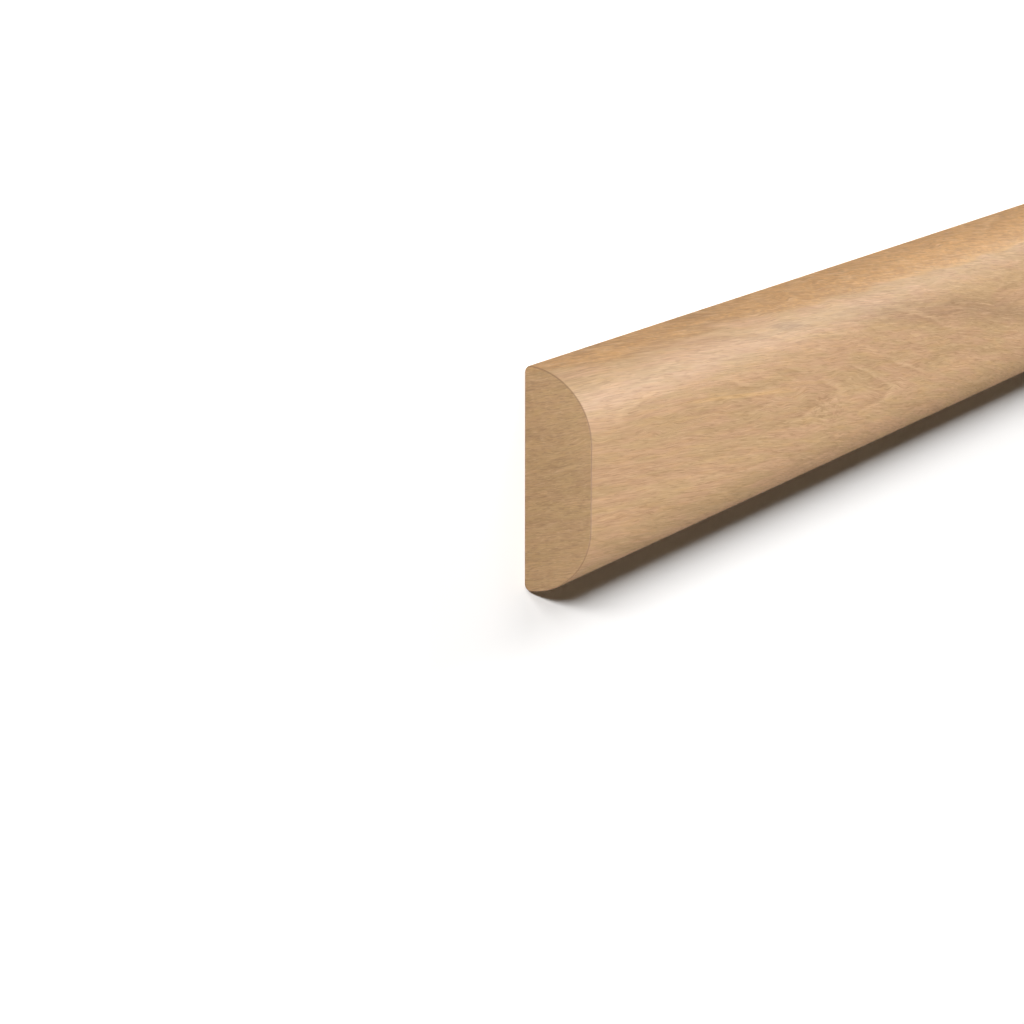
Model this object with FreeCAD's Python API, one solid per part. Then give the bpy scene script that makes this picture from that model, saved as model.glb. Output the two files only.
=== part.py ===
"""A hardwood batten moulding, lying on its flat back.

The batten is one planed strip of solid wood with the same section all along: a flat back that goes
against the wall, a flat land down the middle of the front, and a large round nose along each long
edge. The two back corners are only eased. Both ends are sawn square, and their sharp edge is broken.

The frame is in millimetres with +Z up. The length runs along X, the width along Y and the thickness
along Z. The origin is the centre of the back face, which lies on the floor.
"""
import FreeCAD
import Part
import math
import os

# The stock, as it is sold.
length = 1000.0
width = 45.0
thickness = 15.0

# The section, as the cutters leave it.
nose_radius = 14.5
back_corner_radius = 1.3

# The sharp edge round each sawn end is broken by this much.
end_edge_break = 0.3

# Two places closer together than this are the same.
same_place = 1e-6


def point(x, y, z):
    return FreeCAD.Vector(x, y, z)


def arc_between(start, end, centre, radius):
    """The shorter arc of a circle, from start to end."""
    towards_middle = (start - centre) + (end - centre)
    towards_middle.normalize()
    return Part.Arc(start, centre + towards_middle * radius, end).toShape()


def rounded_edge(x, side):
    """One long edge's share of the section at x, from the back face round to the front land.

    side is 1 for the +Y edge and -1 for the other. Where the stock is thick enough, the edge has a
    straight part between the eased corner and the nose. Otherwise the corner rolls straight into
    the nose: its circle touches the nose's circle from the inside.
    """
    corner_y = width / 2 - back_corner_radius
    corner_centre = point(x, side * corner_y, back_corner_radius)
    nose_z = thickness - nose_radius
    straight = nose_z - back_corner_radius

    if straight > same_place:
        nose_y = width / 2 - nose_radius
        corner_end = point(x, side * width / 2, back_corner_radius)
        nose_start = point(x, side * width / 2, nose_z)
        flat = [Part.LineSegment(corner_end, nose_start).toShape()]
    else:
        between_centres = nose_radius - back_corner_radius
        nose_y = corner_y - math.sqrt(between_centres ** 2 - straight ** 2)
        towards_corner = corner_centre - point(x, side * nose_y, nose_z)
        towards_corner.normalize()
        corner_end = corner_centre + towards_corner * back_corner_radius
        nose_start = corner_end
        flat = []

    nose_centre = point(x, side * nose_y, nose_z)
    back_end = point(x, side * corner_y, 0)
    front_end = point(x, side * nose_y, thickness)
    corner = arc_between(back_end, corner_end, corner_centre, back_corner_radius)
    nose = arc_between(nose_start, front_end, nose_centre, nose_radius)
    return [corner] + flat + [nose], back_end, front_end


def section(x):
    """The batten's cross section at x, as one closed wire of lines and arcs."""
    left, left_back, left_front = rounded_edge(x, 1)
    right, right_back, right_front = rounded_edge(x, -1)
    front_land = Part.LineSegment(left_front, right_front).toShape()
    back = Part.LineSegment(right_back, left_back).toShape()
    return Part.Wire(left + [front_land] + right[::-1] + [back])


def batten():
    """The section run along the whole length, with the edge round both sawn ends broken."""
    strip = Part.Face(section(-length / 2)).extrude(point(length, 0, 0))
    end_edges = [
        edge for edge in strip.Edges
        if abs(abs(edge.CenterOfMass.x) - length / 2) < same_place
    ]
    return strip.makeChamfer(end_edge_break, end_edges)


os.makedirs("parts", exist_ok=True)
strip = batten()
strip.exportStep("parts/batten.step")
size = strip.BoundBox
print(f"batten: {size.XLength:.2f} x {size.YLength:.2f} x {size.ZLength:.2f} mm,"
      f" {len(strip.Solids)} solid, valid {strip.isValid()}, {strip.Volume / 1000:.1f} cm3")
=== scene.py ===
# %% [markdown]
# A hardwood batten moulding
#
# The object is one planed strip of pale, open-pored hardwood. It lies on its flat back, so its front
# looks up, and each long edge of the front is a large round nose. There is nothing else to it: no
# joint and no fixing, only a thin clear finish. What makes it look real is the wood, so most of this
# lesson is about how the grain runs through the strip, and how soft light rolls over the noses.

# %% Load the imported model
import math

import bpy
from mathutils import Matrix, Vector


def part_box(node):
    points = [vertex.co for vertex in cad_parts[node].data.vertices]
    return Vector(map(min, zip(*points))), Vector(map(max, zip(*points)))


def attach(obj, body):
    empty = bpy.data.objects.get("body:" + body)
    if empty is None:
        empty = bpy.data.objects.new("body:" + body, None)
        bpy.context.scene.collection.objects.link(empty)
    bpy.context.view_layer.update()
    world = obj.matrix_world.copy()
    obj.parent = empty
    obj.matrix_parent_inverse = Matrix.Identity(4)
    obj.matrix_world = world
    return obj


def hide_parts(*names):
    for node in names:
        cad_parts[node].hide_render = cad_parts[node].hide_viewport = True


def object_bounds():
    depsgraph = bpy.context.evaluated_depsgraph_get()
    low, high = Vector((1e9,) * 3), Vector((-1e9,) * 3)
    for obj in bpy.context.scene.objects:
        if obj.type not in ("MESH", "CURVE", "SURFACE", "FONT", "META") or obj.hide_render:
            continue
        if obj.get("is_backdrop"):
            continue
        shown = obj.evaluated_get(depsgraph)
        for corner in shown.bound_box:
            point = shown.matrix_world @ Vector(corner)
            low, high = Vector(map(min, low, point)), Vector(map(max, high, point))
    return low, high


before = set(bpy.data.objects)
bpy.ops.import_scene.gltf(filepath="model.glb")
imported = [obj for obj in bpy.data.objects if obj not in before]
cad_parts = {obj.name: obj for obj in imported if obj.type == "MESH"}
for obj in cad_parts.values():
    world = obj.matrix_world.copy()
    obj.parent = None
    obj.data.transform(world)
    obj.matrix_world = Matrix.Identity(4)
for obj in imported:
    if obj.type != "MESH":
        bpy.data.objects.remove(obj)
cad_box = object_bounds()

low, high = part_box("batten")
length, width, thickness = high - low
print(f"CAD batten: {length * 1000:.1f} x {width * 1000:.1f} x {thickness * 1000:.1f} mm")

# %% [markdown]
# Writing nodes as sums
#
# A node tree is easier to read as an expression than as a list of wires. Each `Wire` below is the
# output of a node. Adding or multiplying two of them adds a Math node, so `1 - mask` works as it
# would on numbers. A vector is scaled by Vector Math instead. Every other node comes from the one
# method `node` of a `Tree`, which takes the node's type, what its sockets get, and its settings. The
# same could be clicked together by hand in the node editor, but a script says it in fewer words, and
# it can be run again after a number has changed.

# %% Expressions that build Math nodes
class Wire:
    """The output of a node, with the operators that this lesson uses."""

    def __init__(self, tree, socket):
        self.tree = tree
        self.socket = socket

    def math(self, operation, *others):
        sockets = dict(enumerate((self, *others)))
        return self.tree.node("ShaderNodeMath", sockets, operation=operation)

    def __add__(self, other):
        return self.math("ADD", other)

    __radd__ = __add__

    def __sub__(self, other):
        return self.math("SUBTRACT", other)

    def __rsub__(self, other):
        return self.tree.node("ShaderNodeMath", {0: other, 1: self}, operation="SUBTRACT")

    def __mul__(self, other):
        return self.math("MULTIPLY", other)

    __rmul__ = __mul__

    def __truediv__(self, other):
        return self.math("DIVIDE", other)

    def __pow__(self, other):
        return self.math("POWER", other)

    def sibling(self, name):
        """Another output of the same node."""
        return Wire(self.tree, self.socket.node.outputs[name])

    def scaled(self, factor):
        """A vector made longer by a plain factor."""
        return self.tree.node("ShaderNodeVectorMath", {0: self, "Scale": factor}, operation="SCALE")


print("a Wire adds, subtracts, multiplies, divides and raises to a power")

# %% One method that adds any node
class Tree:
    """A node tree under construction."""

    def __init__(self, nodes_and_links):
        self.data = nodes_and_links

    def node(self, kind, sockets=None, out=None, **settings):
        """Adds a node, settings first, and returns one of its outputs as a Wire."""
        made = self.data.nodes.new(kind)
        for name, value in settings.items():
            setattr(made, name, value)
        for key, value in (sockets or {}).items():
            target = self.find(made.inputs, key)
            if isinstance(value, Wire):
                self.data.links.new(value.socket, target)
            else:
                target.default_value = value
        return Wire(self, self.find(made.outputs, out)) if made.outputs else made

    @staticmethod
    def find(sockets, key):
        """A socket by its number or its name, counting only those that the settings show."""
        shown = [socket for socket in sockets if socket.enabled]
        if key is None:
            return shown[0]
        return shown[key] if isinstance(key, int) else next(s for s in shown if s.name == key)


def glide(tree, value, start, end, to_start=0.0, to_end=1.0):
    """Goes smoothly from to_start to to_end while value goes from start to end."""
    return tree.node("ShaderNodeMapRange", {
        "Value": value, "From Min": start, "From Max": end, "To Min": to_start, "To Max": to_end},
        interpolation_type="SMOOTHSTEP")


print("a Tree adds nodes, and glide turns a length into a soft-edged mask")

# %% [markdown]
# The shape of the strip
#
# A real batten of this kind is planed square, and then run past two moulding cutters that leave a
# round nose along each long edge. Its back corners are only eased. The same section runs all along,
# which is a rule, so a Geometry Nodes tree makes it: four arcs, joined end to end into one closed
# outline, swept along a straight line and capped at both ends. The alternative, a box with bevels,
# can't roll the eased back corner into a nose that is nearly as large as the strip is thick.

# %% Sizes of the section, in metres
nose_radius = 0.0145
back_corner_radius = 0.0013
end_edge_break = 0.0003
steps_round_nose = 40
steps_round_corner = 10
print("each nose takes", nose_radius / thickness, "of the thickness")

# %% A tree with named inputs
shape_inputs = {
    "Length": length,
    "Width": width,
    "Thickness": thickness,
    "Nose Radius": nose_radius,
    "Corner Radius": back_corner_radius,
}
shape_group = bpy.data.node_groups.new("batten_shape", "GeometryNodeTree")
shape_group.interface.new_socket("Geometry", in_out="INPUT", socket_type="NodeSocketGeometry")
for name, value in shape_inputs.items():
    socket = shape_group.interface.new_socket(name, in_out="INPUT", socket_type="NodeSocketFloat")
    socket.default_value = value
shape_group.interface.new_socket("Wood", in_out="INPUT", socket_type="NodeSocketMaterial")
shape_group.interface.new_socket("Geometry", in_out="OUTPUT", socket_type="NodeSocketGeometry")
shape = Tree(shape_group)
given = shape_group.nodes.new("NodeGroupInput")


def asked(name):
    """One of the tree's named inputs."""
    return Wire(shape, given.outputs[name])


print("inputs of the shape tree:", list(shape_inputs))

# %% [markdown]
# The outline
#
# Seen from the end, the outline is a back corner, a nose, the flat land, the other nose and the other
# back corner. Each corner and nose is one arc. Where a corner meets its nose the two arcs share a
# tangent, so the angle at which one ends and the other starts follows from their centres. The land and
# the back need no points of their own, because a straight line joins the arcs' ends.

# %% Four arcs
quarter = math.pi / 2
nose, corner = asked("Nose Radius"), asked("Corner Radius")
corner_y = asked("Width") / 2 - corner
nose_z = asked("Thickness") - nose
between = nose - corner
drop = corner - nose_z
nose_y = corner_y - (between ** 2 - drop ** 2).math("SQRT")
roll = drop.math("ARCTAN2", corner_y - nose_y)


def arc(radius, start, sweep, centre_y, centre_z, steps):
    """An arc about a centre in the section's own plane, where X is the width and Y the thickness."""
    curve = shape.node(
        "GeometryNodeCurveArc",
        {"Resolution": steps + 1, "Radius": radius, "Start Angle": start, "Sweep Angle": sweep},
        mode="RADIUS")
    centre = shape.node("ShaderNodeCombineXYZ", {"X": centre_y, "Y": centre_z})
    return shape.node("GeometryNodeTransform", {"Geometry": curve, "Translation": centre})


arcs = [
    arc(corner, -quarter, roll + quarter, corner_y, corner, steps_round_corner),
    arc(nose, roll, quarter - roll, nose_y, nose_z, steps_round_nose),
    arc(nose, quarter, quarter - roll, 0 - nose_y, nose_z, steps_round_nose),
    arc(corner, 2 * quarter - roll, roll + quarter, 0 - corner_y, corner, steps_round_corner),
]
print("arcs in the outline:", len(arcs))

# %% One closed outline
joined = shape_group.nodes.new("GeometryNodeJoinGeometry")
for one_arc in reversed(arcs):
    shape_group.links.new(one_arc.socket, joined.inputs[0])
points = shape.node(
    "GeometryNodeCurveToPoints", {"Curve": Wire(shape, joined.outputs[0])}, mode="EVALUATED")
open_outline = shape.node("GeometryNodePointsToCurves", {"Points": points})
outline = shape.node("GeometryNodeSetSplineCyclic", {"Geometry": open_outline, "Cyclic": True})
print("points in the outline:", 2 * (steps_round_nose + steps_round_corner + 2))

# %% [markdown]
# The sweep
#
# A straight line along the batten carries the outline, as the feed carries the wood past the cutters.
# A curve's profile hangs from its up side, so the line is tilted by half a turn to set the strip on its
# back. Merging the points that lie on each other closes the shell, and the last two nodes leave plain
# faces with the wood on them, which an export can read.

# %% Sweep, close and finish
weld_distance = 1e-6
half = asked("Length") / 2
line = shape.node(
    "GeometryNodeCurvePrimitiveLine",
    {"Start": shape.node("ShaderNodeCombineXYZ", {"X": 0 - half}),
     "End": shape.node("ShaderNodeCombineXYZ", {"X": half})})
upright = shape.node("GeometryNodeSetCurveTilt", {"Curve": line, "Tilt": math.pi})
strip = shape.node(
    "GeometryNodeCurveToMesh", {"Curve": upright, "Profile Curve": outline, "Fill Caps": True})
welded = shape.node("GeometryNodeMergeByDistance", {"Geometry": strip, "Distance": weld_distance})
smooth = shape.node("GeometryNodeSetShadeSmooth", {"Geometry": welded, "Shade Smooth": True})
real = shape.node("GeometryNodeRealizeInstances", {"Geometry": smooth})
finished = shape.node("GeometryNodeSetMaterial", {"Geometry": real, "Material": asked("Wood")})
shape.node("NodeGroupOutput", {"Geometry": finished})
print("nodes in the shape tree:", len(shape_group.nodes))

# %% [markdown]
# A place in the wood
#
# The wood is pale and fine-pored. A picture of wood could be wrapped round the strip, but then it
# would stretch over the noses and stop at the sawn end. So the wood is worked out in three dimensions,
# as it is in the tree, and the strip is cut out of it. Three lengths describe any place: `along` runs
# with the strip, `across` counts the layers that the fibres lie in, and `through` runs within a layer.
# The layers are a little tilted, and the fibres wander from side to side in one long, slow wave, so
# that they lean by eight degrees at the near end, as in most sawn stock. They lean a little more near
# one edge than near the other, as they do where a tree tapers.

# %% Three lengths, in millimetres
wood = bpy.data.materials.new("hardwood_satin")
wood.use_nodes = True
wood.node_tree.nodes.clear()
grain = Tree(wood.node_tree)

layer_tilt = 0.28
lean_reach = 37.0
lean_length = 250.0
steepest_lean = 400.0
fan_width = 90.0

place = grain.node("ShaderNodeTexCoord", out="Object").scaled(1000.0)
along = grain.node("ShaderNodeSeparateXYZ", {"Vector": place})
over, up = along.sibling("Y"), along.sibling("Z")
lean = ((along + steepest_lean) / lean_length).math("SINE") * lean_reach
across = over + lean * (1 - over / fan_width) - up * layer_tilt
through = up + over * layer_tilt
print("fibres lean", round(math.degrees(math.atan(lean_reach / lean_length)), 1), "degrees at most")

# %% Helpers for lumps, masks and colours in the wood
def noise(size, seed, detail=1.0, roughness=0.5, layer=None):
    """Noise whose lumps measure size = (along, across, through) in millimetres, from 0 to 1."""
    spot = grain.node("ShaderNodeCombineXYZ", {
        "X": along / size[0] + seed,
        "Y": (across if layer is None else layer) / size[1] + 2 * seed,
        "Z": through / size[2] + 3 * seed})
    return grain.node(
        "ShaderNodeTexNoise", {"Vector": spot, "Scale": 1.0, "Detail": detail, "Roughness": roughness})


def mask(value, start, end, to_start=0.0, to_end=1.0):
    """The same glide as above, in the wood's own tree."""
    return glide(grain, value, start, end, to_start, to_end)


def mixed(factor, first, second):
    """The first colour, with as much of the second as the factor says."""
    return grain.node(
        "ShaderNodeMix", {"Factor": factor, "A": first, "B": second}, "Result", data_type="RGBA")


print("lumps are measured in millimetres")

# %% [markdown]
# Growth rings
#
# A tree adds a layer each year, dense and dark at its end, and pale where the next one starts. Where
# the saw runs along such a layer, the rings show as long nested arches. Here a ring's number grows with
# the distance from the arches' middle line, and a slow sway along the strip brings the layers up to the
# cut, which is what points the arches. In this wood the rings are faint, so a patchy mask hides most
# of them and leaves the arches where the sway is steepest. Thin false rings, which a dry summer leaves
# inside a ring, are cut from the same number and hidden by a patchy mask of their own.

# %% A number that grows by one from ring to ring
ring_width = 6.0
first_ring = 5.9
arch_middle = -3.3
arch_depth = 1.6
sway_reach = 10.0
sway_length = 43.0
steepest_sway = 385.0
slow_wander_size, slow_wander_reach = (60, 22, 34), 7.0
quick_wander_size, quick_wander_reach = (14, 4, 9), 2.4

sway_turn = (along + steepest_sway) / sway_length
sway = sway_turn.math("SINE") * sway_reach
sway = sway + (noise(slow_wander_size, seed=3.1) - 0.5) * slow_wander_reach
sway = sway + (noise(quick_wander_size, seed=7.7) - 0.5) * quick_wander_reach
beside = across - arch_middle
radius = (beside * beside + arch_depth ** 2).math("SQRT") + sway
ring = ((radius - first_ring) / ring_width).math("FRACT")
print("rings are", ring_width, "mm apart")

# %% Pale and dark sides of each ring, where they show
clear_patch_size = (40, 8, 30)
clearer_in_arches = 0.18
near_middle = mask(beside.math("ABSOLUTE"), 9.0, 2.0)
near_tip = mask(sway_turn.math("COSINE"), 0.35, 0.80)
in_arches = near_middle * near_tip
ring_shows = mask(noise(clear_patch_size, seed=5.5) + in_arches * clearer_in_arches, 0.46, 0.72)
late_wood = mask(ring, 0.60, 0.93) * mask(ring, 1.0, 0.95) * ring_shows
early_wood = mask(ring, 0.0, 0.04) * mask(ring, 0.20, 0.06) * ring_shows
print("the clear patches are about", clear_patch_size[0], "mm long")

# %% False rings
false_rings = 3
false_patch_size = (26, 5, 14)
false_ring = (ring * false_rings).math("FRACT")
false_line = mask(false_ring, 0.72, 0.93) * mask(false_ring, 1.0, 0.95)
false_line = false_line * mask(noise(false_patch_size, seed=19.3), 0.48, 0.62)
print("false rings in each ring:", false_rings - 1)

# %% [markdown]
# Fibres and pores
#
# Close up, planed wood is a mass of fibres, each far longer than it is wide, cut by short dark pores.
# One noise can't give that, so several are laid over each other, each stretched along the fibres by
# its own amount: slow zones, then bands, then streaks a quarter of a millimetre wide, and the pores
# and the bright glints between them last. They are counted in layers that wander a little more than
# the rings do, and waver in patches, most of all inside the arches. That keeps the fibres from running
# in ruled lines.

# %% Layers that wander and waver
drift_size, drift_reach = (55, 16, 34), 3.0
waver_size, waver_reach = (11, 3.2, 7), 2.8
waver_patch_size = (60, 10, 26)
more_in_arches = 0.2

drift = (noise(drift_size, seed=2.2) - 0.5) * drift_reach
wavers = mask(noise(waver_patch_size, seed=25.1) + in_arches * more_in_arches, 0.50, 0.68)
waver = (noise(waver_size, seed=23.7) - 0.5) * waver_reach * wavers
fibre_layers = across + drift + waver
print("fibres waver by", waver_reach / 2, "mm to each side at most")

# %% Noises from coarse to fine
zone_size = (80, 3.6, 30)
patch_size = (19, 2.4, 9)
band_size = (15, 0.8, 4)
tint_size = (9, 0.9, 3)
streak_size = (8.0, 0.27, 3.2)
glint_size = (6.0, 0.23, 1.4)
pore_size = (4.2, 0.22, 1.6)

zones = noise(zone_size, seed=1.3, detail=2.0, roughness=0.6, layer=fibre_layers)
patches = noise(patch_size, seed=9.2, detail=2.0)
bands = noise(band_size, seed=10.9, layer=fibre_layers)
tints = noise(tint_size, seed=18.4, detail=2.0, layer=fibre_layers)
streaks = noise(streak_size, seed=4.4, detail=2.0, roughness=0.6, layer=fibre_layers)
glint = mask(noise(glint_size, seed=8.3, layer=fibre_layers), 0.56, 0.70)
pore = mask(noise(pore_size, seed=6.6, layer=fibre_layers), 0.55, 0.66)
print("pores are", pore_size[1], "mm wide and", pore_size[0], "mm long")

# %% [markdown]
# Heartwood
#
# One nose is cut from nearer the tree's heart. It is darker and warmer, it shimmers with small curls
# where the fibres turn, and a thin line runs along its rim, brown near the shown end and honey further
# on. It could be a second material with an edge between the two, but in wood the change is soft, so it
# is a mask that every later colour can use.

# %% Where the heartwood starts
heart_edge = 20.3
heart_reach = 6.0
heart_length = 240.0
heart_crossing = 440.0
heart_softness = 0.9
heart_wander_size, heart_wander_reach = (34, 4, 12), 5.0

heart_lean = ((along + heart_crossing) / heart_length).math("SINE") * heart_reach
heart_wander = (noise(heart_wander_size, seed=12.4) - 0.5) * heart_wander_reach
heart_depth = over + heart_lean + heart_wander
heart = mask(heart_depth, heart_edge - heart_softness, heart_edge + heart_softness)
print("heartwood starts", round(1000 * width / 2 - heart_edge, 1), "mm from the edge, on average")

# %% What shows in the heartwood
# Painted shade: near along = -400 mm the heartwood is made darker, where the sheen on the upper nose is
# weaker.
painted_shade_middle, painted_shade_reach, painted_shade_core = 400.0, 70.0, 15.0
rim_reach, rim_core = 3.2, 1.0
line_reach, line_core = 0.6, 0.1
line_patch_size = (50, 8, 20)
honey_start, honey_end = -415.0, -385.0
cloud_size = (7, 1.6, 2.6)
curl_size = (1.8, 0.7, 1.0)

heart_rim = heart * mask(heart_depth, heart_edge + rim_reach, heart_edge + rim_core)
heart_painted_shade = heart * mask((along + painted_shade_middle).math("ABSOLUTE"), painted_shade_reach, painted_shade_core)
heart_line = mask((heart_depth - heart_edge).math("ABSOLUTE"), line_reach, line_core)
heart_line = heart_line * mask(noise(line_patch_size, seed=21.5), 0.38, 0.52)
heart_lights_up = mask(along, honey_start, honey_end)
clouds = noise(cloud_size, seed=13.7, detail=2.0, roughness=0.6)
curls = noise(curl_size, seed=16.1)
print("curls are", curl_size[1], "mm wide and", curl_size[0], "mm long")

# %% [markdown]
# Marks that make it one certain piece
#
# No two boards are alike, and an even pattern soon looks like print. Some marks are set one by one,
# each by its place in the wood: a grey-brown mineral streak that follows the fibres, a thread of warmer
# wood, and one small fleck. A few tiny eyes, where buds never broke, sit inside the arches. Each mark
# is a distance turned into a soft mask.

# %% A mineral streak and a warm thread
mineral_across, mineral_reach, mineral_core = 13.4, 3.4, 0.6
mineral_start, mineral_end = -400.0, -230.0
mineral_fades_in, mineral_fades_out = 45.0, 60.0
mineral = mask((fibre_layers - mineral_across).math("ABSOLUTE"), mineral_reach, mineral_core)
mineral = mineral * mask(along, mineral_start, mineral_start + mineral_fades_in)
mineral = mineral * mask(along, mineral_end + mineral_fades_out, mineral_end)

thread_across, thread_reach, thread_core = -2.5, 0.6, 0.2
thread_start, thread_end, thread_fades = -470.0, -400.0, 25.0
thread = mask((across - thread_across).math("ABSOLUTE"), thread_reach, thread_core)
thread = thread * mask(along, thread_start, thread_start + thread_fades)
thread = thread * mask(along, thread_end, thread_end - thread_fades)
print("mineral streak:", mineral_end - mineral_start, "mm long")

# %% A fleck and eyes
def spot(at_along, at_across, reach_along, reach_across):
    """A soft oval in the wood, as large as its two reaches."""
    far_along = (along - at_along) / reach_along
    far_across = (across - at_across) / reach_across
    return mask(far_along * far_along + far_across * far_across, 1.0, 0.0)


fleck = spot(-409.0, 12.4, 9.0, 1.7)
eyes = spot(-394.0, -7.3, 12.0, 4.0) * mask(curls, 0.50, 0.62)
print("the eyes take their grain from the curls")

# %% [markdown]
# Sawn ends
#
# A saw leaves the ends of the fibres open, so an end drinks more of the finish and dries darker and
# warmer. The broken edge round each end is coloured with a thin dark line. A second material would need
# its own faces.
# The direction that a face looks in is enough: its part along the strip, squared, is 1 on an end, 0 on
# the long faces, and between the two on the broken edge.

# %% Masks for the ends and their edges
facing = grain.node("ShaderNodeTexCoord", out="Normal")
endwise = grain.node("ShaderNodeSeparateXYZ", {"Vector": facing}) ** 2
sawn = mask(endwise, 0.80, 0.98)
sawn_edge = mask(endwise * (1 - endwise) * 4, 0.3, 0.9)
print("broken edge:", end_edge_break * 1000, "mm")

# %% [markdown]
# Colour
#
# The colours are those of a clear-finished pale hardwood in even light. They are laid on from broad
# patches down to single pores, each as a thin wash over what is there. In each line below, the masks
# say where the wash goes. The number beside them, or the last one in a mask that has four, says how
# strong it is at most. Small amounts matter more than bright colours: past the first patches only the
# heartwood and the dark line round a sawn end take more than a half.

# %% Nine colours of one wood
tan = (0.540, 0.350, 0.201, 1)
rosy = (0.585, 0.356, 0.215, 1)
straw = (0.535, 0.356, 0.189, 1)
amber = (0.610, 0.346, 0.152, 1)
toast = (0.590, 0.362, 0.138, 1)
honey = (0.74, 0.45, 0.185, 1)
pale = (0.76, 0.53, 0.31, 1)
brown = (0.30, 0.170, 0.085, 1)
umber = (0.33, 0.21, 0.135, 1)
print("the wood is mostly", tan[:3])

# %% Broad colour
colour = mixed(mask(patches, 0.36, 0.64), straw, rosy)
colour = mixed(0.30, colour, tan)
colour = mixed(mask(tints, 0.48, 0.66, 0.0, 0.15), colour, honey)
colour = mixed(heart * mask(clouds, 0.25, 0.65, 0.70, 1.0), colour, amber)
colour = mixed(heart * mask(clouds, 0.52, 0.36, 0.0, 0.12), colour, brown)
# The second mask here is painted shade: darker heartwood where the sheen on the upper nose is weaker.
colour = mixed(heart_rim * 0.10 + heart_painted_shade * 0.10, colour, brown)
colour = mixed(heart_line * heart_lights_up * 0.38, colour, honey)
colour = mixed(heart_line * (1 - heart_lights_up) * 0.24, colour, brown)
colour = mixed(heart * mask(curls, 0.54, 0.68, 0.0, 0.42), colour, honey)
colour = mixed(heart * mask(curls, 0.46, 0.34, 0.0, 0.14), colour, brown)
colour = mixed(sawn * 0.45, colour, toast)
colour = mixed(mask(zones, 0.42, 0.72, 0.0, 0.17), colour, brown)
print("nodes in the wood so far:", len(wood.node_tree.nodes))

# %% Lines, fibres and pores
fibre_contrast = mask(patches, 0.38, 0.62, 0.70, 1.08) + heart * 0.3
colour = mixed(mineral * mask(bands, 0.25, 0.65, 0.15, 0.42), colour, umber)
colour = mixed(mask(bands, 0.30, 0.70, 0.0, 0.14), colour, brown)
colour = mixed(late_wood * 0.23, colour, brown)
colour = mixed(early_wood * 0.22, colour, pale)
colour = mixed(false_line * 0.18, colour, brown)
colour = mixed(thread * 0.34, colour, honey)
colour = mixed(fleck * 0.46, colour, umber)
colour = mixed(eyes * 0.40, colour, brown)
colour = mixed(mask(streaks, 0.5, 0.76, 0.0, 0.35) * fibre_contrast, colour, pale)
colour = mixed(mask(streaks, 0.5, 0.24, 0.0, 0.24) * fibre_contrast, colour, brown)
colour = mixed(glint * 0.30, colour, pale)
colour = mixed(pore * 0.34, colour, brown)
colour = mixed(sawn_edge * 0.62, colour, brown)
print("nodes in the wood so far:", len(wood.node_tree.nodes))

# %% [markdown]
# Surface
#
# The finish is a thin satin film. It fills the wood just enough to give the noses a soft sheen, while
# the fibres still stand up by a few hundredths of a millimetre and the pores still sink in. Such relief
# is far too small for geometry, so a bump gives it, and the paler fibres are a touch glossier.

# %% Relief and sheen
relief_height = 0.00006
fibre_share = 0.3
roughest, glossiest = 0.5, 0.4
relief = streaks * fibre_share - pore
bump = grain.node("ShaderNodeBump", {"Strength": 0.3, "Distance": relief_height, "Height": relief})
surface = grain.node("ShaderNodeBsdfPrincipled", {
    "Base Color": colour,
    "Roughness": mask(streaks, 0.2, 0.8, roughest, glossiest),
    "Normal": bump})
grain.node("ShaderNodeOutputMaterial", {"Surface": surface})
print("relief:", relief_height * 1e6, "micrometres")

# %% [markdown]
# Making the strip
#
# The tree is run once, as a modifier on an empty mesh, and its result is kept as a plain mesh, because
# a modifier's inputs are easy to lose and a mesh isn't. A modifier's input is known by its socket's
# identifier, not by its name. A Bevel after the tree breaks the sharp edges of the two sawn ends, as a
# rub of sandpaper does: only those edges turn by more than sixty degrees, so it leaves the noses alone.

# %% The strip as a plain mesh
def strip_mesh():
    """Runs the shape tree with the sizes and the wood, and returns the result with its ends eased."""
    carrier = bpy.data.objects.new("strip_maker", bpy.data.meshes.new("strip_maker"))
    bpy.context.scene.collection.objects.link(carrier)
    maker = carrier.modifiers.new("shape", "NODES")
    maker.node_group = shape_group
    identifiers = {
        item.name: item.identifier for item in shape_group.interface.items_tree
        if item.in_out == "INPUT"}
    for name, value in shape_inputs.items():
        maker[identifiers[name]] = value
    maker[identifiers["Wood"]] = wood
    easing = carrier.modifiers.new("end_edges", "BEVEL")
    easing.width = end_edge_break
    easing.segments = 3
    easing.limit_method = "ANGLE"
    easing.angle_limit = math.radians(60)
    evaluated = carrier.evaluated_get(bpy.context.evaluated_depsgraph_get())
    mesh = bpy.data.meshes.new_from_object(evaluated)
    mesh.name = "moulded_strip"
    bpy.data.objects.remove(carrier)
    return mesh


batten = bpy.data.objects.new("moulded_strip", strip_mesh())
bpy.context.scene.collection.objects.link(batten)
print("faces of the strip:", len(batten.data.polygons))

# %% Let it stand for the CAD batten
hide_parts("batten")
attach(batten, "root")
print("strip:", [round(side * 1000, 2) for side in batten.dimensions], "mm")

# %% [markdown]
# The camera
#
# The picture looks past the near end and along the strip with a long lens, turned so that the strip's
# width runs up the picture. That makes the batten seem to stand on its edge, though it lies flat. Two
# angles describe the view: how far it swings towards the floor from looking along the strip, and how
# far it tips down across the width. The angles, the lens and the camera's place were fitted so that
# the strip's outline falls where it does in the picture.

# %% Camera
yaw = math.radians(31.37)
pitch = math.radians(14.38)
focal_length = 98.23
camera_from_near_end = Vector((-0.45088, 0.12841, 0.27208))

level = Vector((math.cos(yaw), 0, -math.sin(yaw)))
picture_right = Vector((math.sin(yaw), 0, math.cos(yaw)))
edgewise = Vector((0, 1, 0))
forward = level * math.cos(pitch) - edgewise * math.sin(pitch)
picture_up = level * math.sin(pitch) + edgewise * math.cos(pitch)

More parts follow.
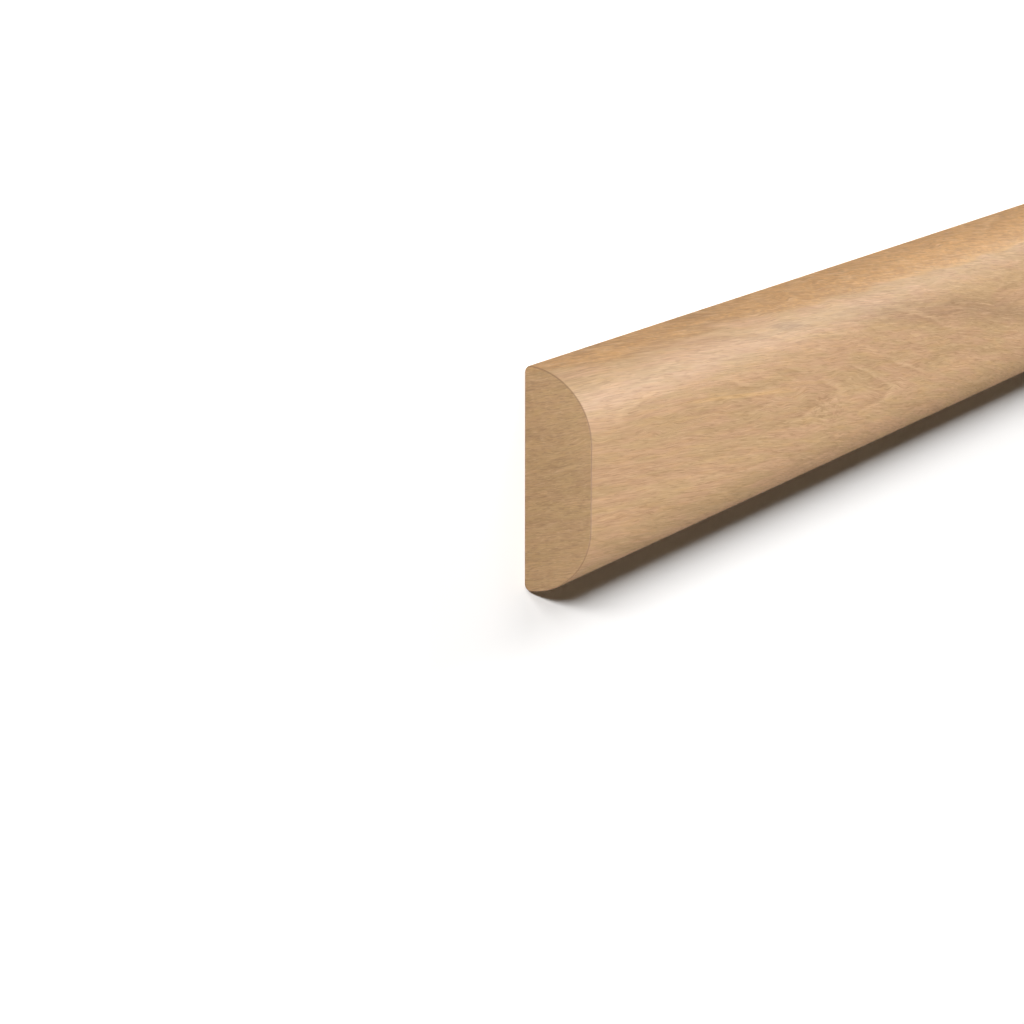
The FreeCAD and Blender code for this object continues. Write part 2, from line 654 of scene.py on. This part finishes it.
camera_data = bpy.data.cameras.new("camera")
camera_data.lens = focal_length
camera_data.sensor_width = 36
camera_data.clip_start = 0.01
camera = bpy.data.objects.new("camera", camera_data)
bpy.context.scene.collection.objects.link(camera)
turn = Matrix((picture_right, picture_up, -forward)).transposed().to_4x4()
camera.matrix_world = Matrix.Translation(Vector((low.x, 0, 0)) + camera_from_near_end) @ turn
bpy.context.scene.camera = camera
print("camera at", [round(v, 3) for v in camera.matrix_world.translation])

# %% [markdown]
# The floor
#
# The batten lies on a white sheet, as stock does for a catalogue picture. The sheet is one large
# square a twentieth of a millimetre below the batten's back, so that the two faces don't fight over
# the same pixels. Near the batten it is plain paper, lit by the lamps, and it keeps the shadow. Further
# off the lamps fall away, and a real studio would need a bigger one. Here the sheet fades to plain
# white for the camera alone, which adds no light to the batten. The sheet also stays out of the gloss
# on the wood, where it would bleach the noses.

# %% A square sheet
floor_reach = 30.0
floor_drop = 0.00005
sheet_corners = [(x * floor_reach, y * floor_reach, -floor_drop)
                 for x, y in ((-1, -1), (1, -1), (1, 1), (-1, 1))]
floor_mesh = bpy.data.meshes.new("floor")
floor_mesh.from_pydata(sheet_corners, [], [(0, 1, 2, 3)])
floor = bpy.data.objects.new("floor", floor_mesh)
bpy.context.scene.collection.objects.link(floor)
floor.visible_glossy = False
floor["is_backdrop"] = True
print("floor lies", floor_drop * 1000, "mm below the back")

# %% White paper
fade_start = 0.06
fade_end = 0.25
paper_white = (0.965, 0.965, 0.965, 1)
paper = bpy.data.materials.new("white_sheet")
paper.use_nodes = True
paper.node_tree.nodes.clear()
sheet = Tree(paper.node_tree)
lit_paper = sheet.node("ShaderNodeBsdfDiffuse", {"Color": paper_white})
plain_white = sheet.node("ShaderNodeEmission", {"Color": (1, 1, 1, 1), "Strength": 1.0})

sheet_place = sheet.node("ShaderNodeTexCoord", out="Object")
sheet_x = sheet.node("ShaderNodeSeparateXYZ", {"Vector": sheet_place})
past_end = (sheet_x.math("ABSOLUTE") - length / 2).math("MAXIMUM", 0)
past_side = (sheet_x.sibling("Y").math("ABSOLUTE") - width / 2).math("MAXIMUM", 0)
away = (past_end * past_end + past_side * past_side).math("SQRT")
far_off = glide(sheet, away, fade_start, fade_end)
for_camera = sheet.node("ShaderNodeLightPath", out="Is Camera Ray")
paper_surface = sheet.node(
    "ShaderNodeMixShader", {"Fac": far_off * for_camera, 1: lit_paper, 2: plain_white})
sheet.node("ShaderNodeOutputMaterial", {"Surface": paper_surface})
floor_mesh.materials.append(paper)
print("paper turns plain white", fade_end, "m from the batten")

# %% [markdown]
# The lamps
#
# A photographer lights the object and the paper apart: soft boxes model the wood, and harder lamps
# burn the paper out to white but leave a crisp shadow under the batten. Light linking does this here.
# A lamp that is linked to a collection lights only what is in it, while everything still casts a
# shadow. So the wood gets light at a plain level, at which its colours render about as written.

# %% A soft box that lights one piece
lamp_distance = 3.0
lit_place = Vector((-0.4, 0, 0))


def lit_alone(piece):
    """A collection that holds one piece, for a lamp that lights nothing else."""
    alone = bpy.data.collections.new(piece.name + "_alone")
    alone.objects.link(piece)
    return alone


def soft_box(name, direction, wide, tall, strength, lit):
    """A lamp that looks at the shown stretch from a direction, and lights one collection only."""
    data = bpy.data.lights.new(name, "AREA")
    data.shape = "RECTANGLE"
    data.size = wide
    data.size_y = tall
    data.energy = strength
    made = bpy.data.objects.new(name, data)
    bpy.context.scene.collection.objects.link(made)
    made.location = lit_place + Vector(direction).normalized() * lamp_distance
    made.rotation_euler = (lit_place - made.location).to_track_quat("-Z", "Y").to_euler()
    made.visible_camera = False
    made.light_linking.receiver_collection = lit
    return made


print("lamps stand", lamp_distance, "m from the shown stretch")

# %% [markdown]
# Where each lamp stands
#
# On the wood, two lamps from behind and above draw the long sheen on the upper nose, one in front keeps
# the land even, one from below fills the lower nose, and a weak one shows the sawn end. On the paper, a
# tall narrow lamp low at the near end gives the shadow its sharp edge, and wider ones soften its tail.
# Each line gives a lamp's name, the direction it stands in, its width and height in metres, its power
# in watts, and what it lights.

# %% Five lamps for the wood and four for the paper
wood_alone, sheet_alone = lit_alone(batten), lit_alone(floor)
lamps = [
    soft_box("wood_behind", (0.62, 0.48, 0.60), 1.2, 1.2, 48.5, wood_alone),
    soft_box("wood_above", (0.30, 0.75, 0.60), 1.2, 1.2, 27, wood_alone),
    soft_box("wood_front", (-0.30, 0.00, 0.95), 1.2, 1.2, 27, wood_alone),
    soft_box("wood_below", (-0.20, -0.26, 0.94), 1.2, 1.2, 33.5, wood_alone),
    soft_box("wood_end", (-0.90, -0.20, 0.40), 1.2, 1.2, 14, wood_alone),
    soft_box("sheet_edge", (-0.90, 0.43, 0.335), 0.1, 0.6, 177, sheet_alone),
    soft_box("sheet_near", (-0.66, 0.57, 0.48), 0.6, 0.6, 31, sheet_alone),
    soft_box("sheet_far", (0.85, 0.50, 0.20), 1.0, 1.0, 158, sheet_alone),
    soft_box("sheet_over", (0.20, 0.90, 0.45), 2.0, 2.0, 32, sheet_alone),
]
print("lamps:", len(lamps))

# %% [markdown]
# The backdrop
#
# Past the floor's edge the camera sees the world. It is pure white to the camera, as the paper is, but
# it gives the object next to no light, so that the shadow under the batten stays deep. What it does
# give is warm, because in a room the wood itself tints what bounces about near it. Metal or glass would
# need the white backdrop in its reflections too, but in satin wood it would only bleach the noses.

# %% World
sky_to_camera = 1.0
sky_to_object = 0.05
warm = (1, 0.70, 0.42, 1)
white = (1, 1, 1, 1)
world = bpy.data.worlds.new("studio")
bpy.context.scene.world = world
world.use_nodes = True
world.node_tree.nodes.clear()
sky = Tree(world.node_tree)
seen = sky.node("ShaderNodeLightPath", out="Is Camera Ray")
sky_strength = seen * (sky_to_camera - sky_to_object) + sky_to_object
sky_colour = sky.node(
    "ShaderNodeMix", {"Factor": seen, "A": warm, "B": white}, "Result", data_type="RGBA")
backdrop = sky.node("ShaderNodeBackground", {"Color": sky_colour, "Strength": sky_strength})
sky.node("ShaderNodeOutputWorld", {"Surface": backdrop})

bpy.context.scene.view_settings.view_transform = "Standard"
print("sky strength on the object:", sky_to_object)

# %% [markdown]
# Sizes, and the end
#
# The looks must not change the object's size. The box that holds the CAD model and the box that holds
# the strip are compared corner by corner, and the largest difference is printed.

# %% Compare both boxes
scene_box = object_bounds()
gaps = [abs(a - b) for mine, cad in zip(scene_box, cad_box) for a, b in zip(mine, cad)]
print("the boxes differ by at most", round(max(gaps) * 1000, 4), "mm")
